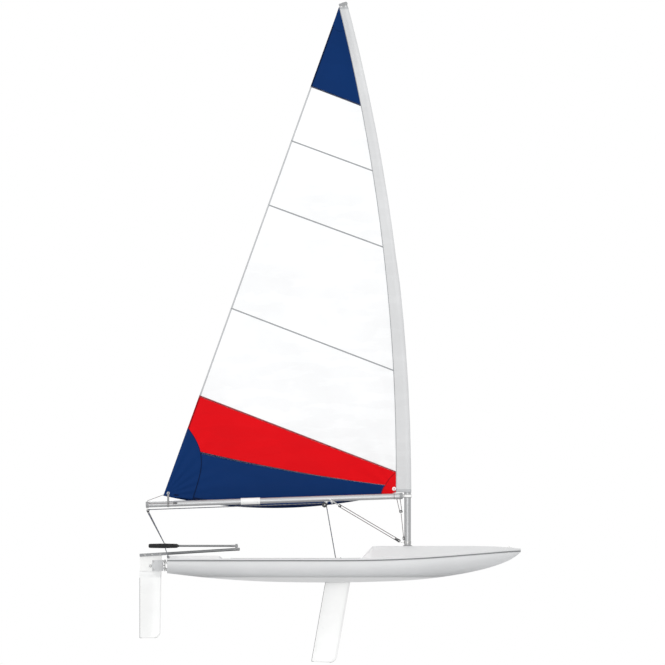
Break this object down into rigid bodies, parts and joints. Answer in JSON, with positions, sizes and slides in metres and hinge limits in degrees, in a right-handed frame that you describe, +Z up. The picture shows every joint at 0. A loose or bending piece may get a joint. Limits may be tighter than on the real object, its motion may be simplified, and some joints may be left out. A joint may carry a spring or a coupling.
{
  "type": "single-sail sailing dinghy",
  "caption": "Decked plastic sailing dinghy with a sleeved sail on an unstayed bending mast, a boom, a lifting rudder and a sliding daggerboard.",
  "frame": {"origin": "on the waterline, on the centreline, halfway along the hull", "axes": "+X forward to the bow, +Y to port, +Z up"},
  "size_m": [3.6644, 1.2172, 6.3542],
  "materials": {
    "hull_grey": "satin moulded polyethylene",
    "trim_grey": "matt",
    "dark_plastic": "matt",
    "stainless": "polished",
    "alloy": "anodised satin",
    "sail_white": "laid sailcloth",
    "sail_navy": "laid sailcloth",
    "sail_red": "laid sailcloth",
    "sleeve_grey": "laid sailcloth",
    "foil_white": "satin gelcoat",
    "white_plastic": "satin",
    "webbing": "woven webbing",
    "foam": "closed-cell foam"
  },
  "bodies": {
    "hull": {"hull_shell": "hull_grey", "deck": "hull_grey", "gunwale_strip": "trim_grey", "transom_gudgeons": "stainless", "drain_bung": "dark_plastic", "bow_eye": "stainless", "mast_gate": "trim_grey", "mainsheet_jammer": "dark_plastic", "traveller_eyes": "stainless", "toe_strap": "webbing", "toe_strap_anchors": "stainless"},
    "rig": {"mast_lower": "alloy", "mast_upper": "alloy", "mast_cap": "trim_grey", "sail_sleeve": "sleeve_grey", "sail_head_panel": "sail_navy", "sail_body": "sail_white", "sail_stripe": "sail_red", "sail_foot_panel": "sail_navy", "gooseneck": "white_plastic", "boom": "alloy", "boom_end_cap": "white_plastic", "boom_band": "white_plastic", "boom_end_lug": "stainless", "boom_middle_lug": "stainless", "kicker_boom_lug": "stainless", "kicker_mast_lug": "stainless"},
    "rudder": {"rudder_stock": "alloy", "rudder_cheeks": "white_plastic", "rudder_pintle": "stainless", "tiller_fork": "alloy", "tiller": "alloy", "tiller_joint": "trim_grey", "blade_pivot": "stainless"},
    "rudder_blade": {"rudder_blade": "foil_white"},
    "extension": {"extension_socket": "trim_grey", "extension_tube": "alloy", "extension_grip": "foam"},
    "daggerboard": {"daggerboard": "foil_white", "daggerboard_head": "dark_plastic"}
  },
  "joints": [
    {"name": "rig_turn", "type": "hinge", "parent": "hull", "child": "rig", "pos_m": [0.612, 0, 0.3], "axis": [0, 0, 1], "range_deg": [-90, 90]},
    {"name": "rudder_turn", "type": "hinge", "parent": "hull", "child": "rudder", "pos_m": [-1.72, 0, 0.12], "axis": [0, 0, 1], "range_deg": [-60, 60]},
    {"name": "blade_lift", "type": "hinge", "parent": "rudder", "child": "rudder_blade", "pos_m": [-1.8585, 0, 0.11], "axis": [0, 1, 0], "range_deg": [0, 100]},
    {"name": "extension_swing", "type": "hinge", "parent": "rudder", "child": "extension", "pos_m": [-1.03228, 0, 0.3], "axis": [0, 0, 1], "range_deg": [0, 345]},
    {"name": "daggerboard_lift", "type": "slide", "parent": "hull", "child": "daggerboard", "axis": [0.1736, 0, 0.9848], "range_m": [0, 0.38]}
  ]
}
